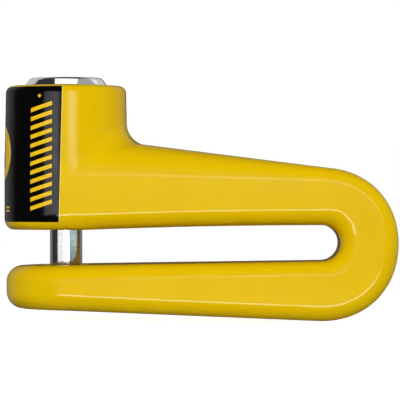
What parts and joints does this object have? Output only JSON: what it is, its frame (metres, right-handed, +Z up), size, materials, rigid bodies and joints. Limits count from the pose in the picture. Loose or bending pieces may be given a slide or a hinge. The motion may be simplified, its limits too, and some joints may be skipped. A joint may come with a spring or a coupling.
{
  "type": "disc brake lock",
  "caption": "Hairpin-shaped motorcycle disc brake lock: coated steel body with a slot for the disc and a keyed push plunger whose pin crosses the slot.",
  "frame": {"origin": "centre of the object's bounding box at its lowest point, under the bend; the locking pin's axis is at x = -41.65 mm", "axes": "+X along the slot to its closed end, +Y across the thickness, +Z up along the locking pin towards the keyway"},
  "size_m": [0.1215, 0.0382, 0.0748],
  "materials": {
    "yellow_coating": "thick glossy yellow dip coating on steel",
    "black_vinyl": "smooth black vinyl film with yellow print",
    "chrome_plate": "polished chrome plate",
    "pin_steel": "ground and polished hardened steel",
    "hardened_steel": "turned and hardened steel",
    "spring_steel": "dark oiled spring steel",
    "zinc_alloy": "satin nickel-plated zinc casting",
    "brass": "stamped brass",
    "black_rubber": "moulded nitrile rubber"
  },
  "bodies": {
    "body": {"lock_body": "yellow_coating", "wrap_label": "black_vinyl", "barrel_sleeve": "hardened_steel", "wiper_seal": "black_rubber", "guide_screw": "spring_steel", "pin_bush": "hardened_steel", "pin_socket": "hardened_steel", "spring_washer": "hardened_steel", "return_spring": "spring_steel"},
    "plunger": {"plunger_housing": "zinc_alloy", "face_cap": "chrome_plate", "locking_pin": "pin_steel", "cross_pin": "hardened_steel"},
    "latch": {"latch_bolt": "hardened_steel", "latch_spring": "spring_steel"},
    "rotor": {"key_rotor": "hardened_steel", "anti_drill_disc": "hardened_steel", "detainer_disc_1": "brass", "detainer_disc_2": "brass", "detainer_disc_3": "brass", "detainer_disc_4": "brass", "detainer_disc_5": "brass", "detainer_disc_6": "brass", "spacer_1": "hardened_steel", "spacer_2": "hardened_steel", "spacer_3": "hardened_steel", "spacer_4": "hardened_steel", "spacer_5": "hardened_steel", "sidebar": "hardened_steel", "tail_cam": "hardened_steel"}
  },
  "joints": [
    {"name": "plunger_slide", "type": "slide", "parent": "body", "child": "plunger", "axis": [0, 0, 1], "range_m": [0, 0.02], "deforming": ["return_spring"]},
    {"name": "key_turn", "type": "hinge", "parent": "plunger", "child": "rotor", "pos_m": [-0.04165, 0, 0.064], "axis": [0, 0, 1], "range_deg": [-90, 0]},
    {"name": "latch_slide", "type": "slide", "parent": "plunger", "child": "latch", "axis": [1, 0, 0], "range_m": [-0.0021, 0]}
  ],
  "couplings": [
    {"joint": "latch_slide", "follows": "key_turn", "m_per_rad": 0.00126}
  ]
}
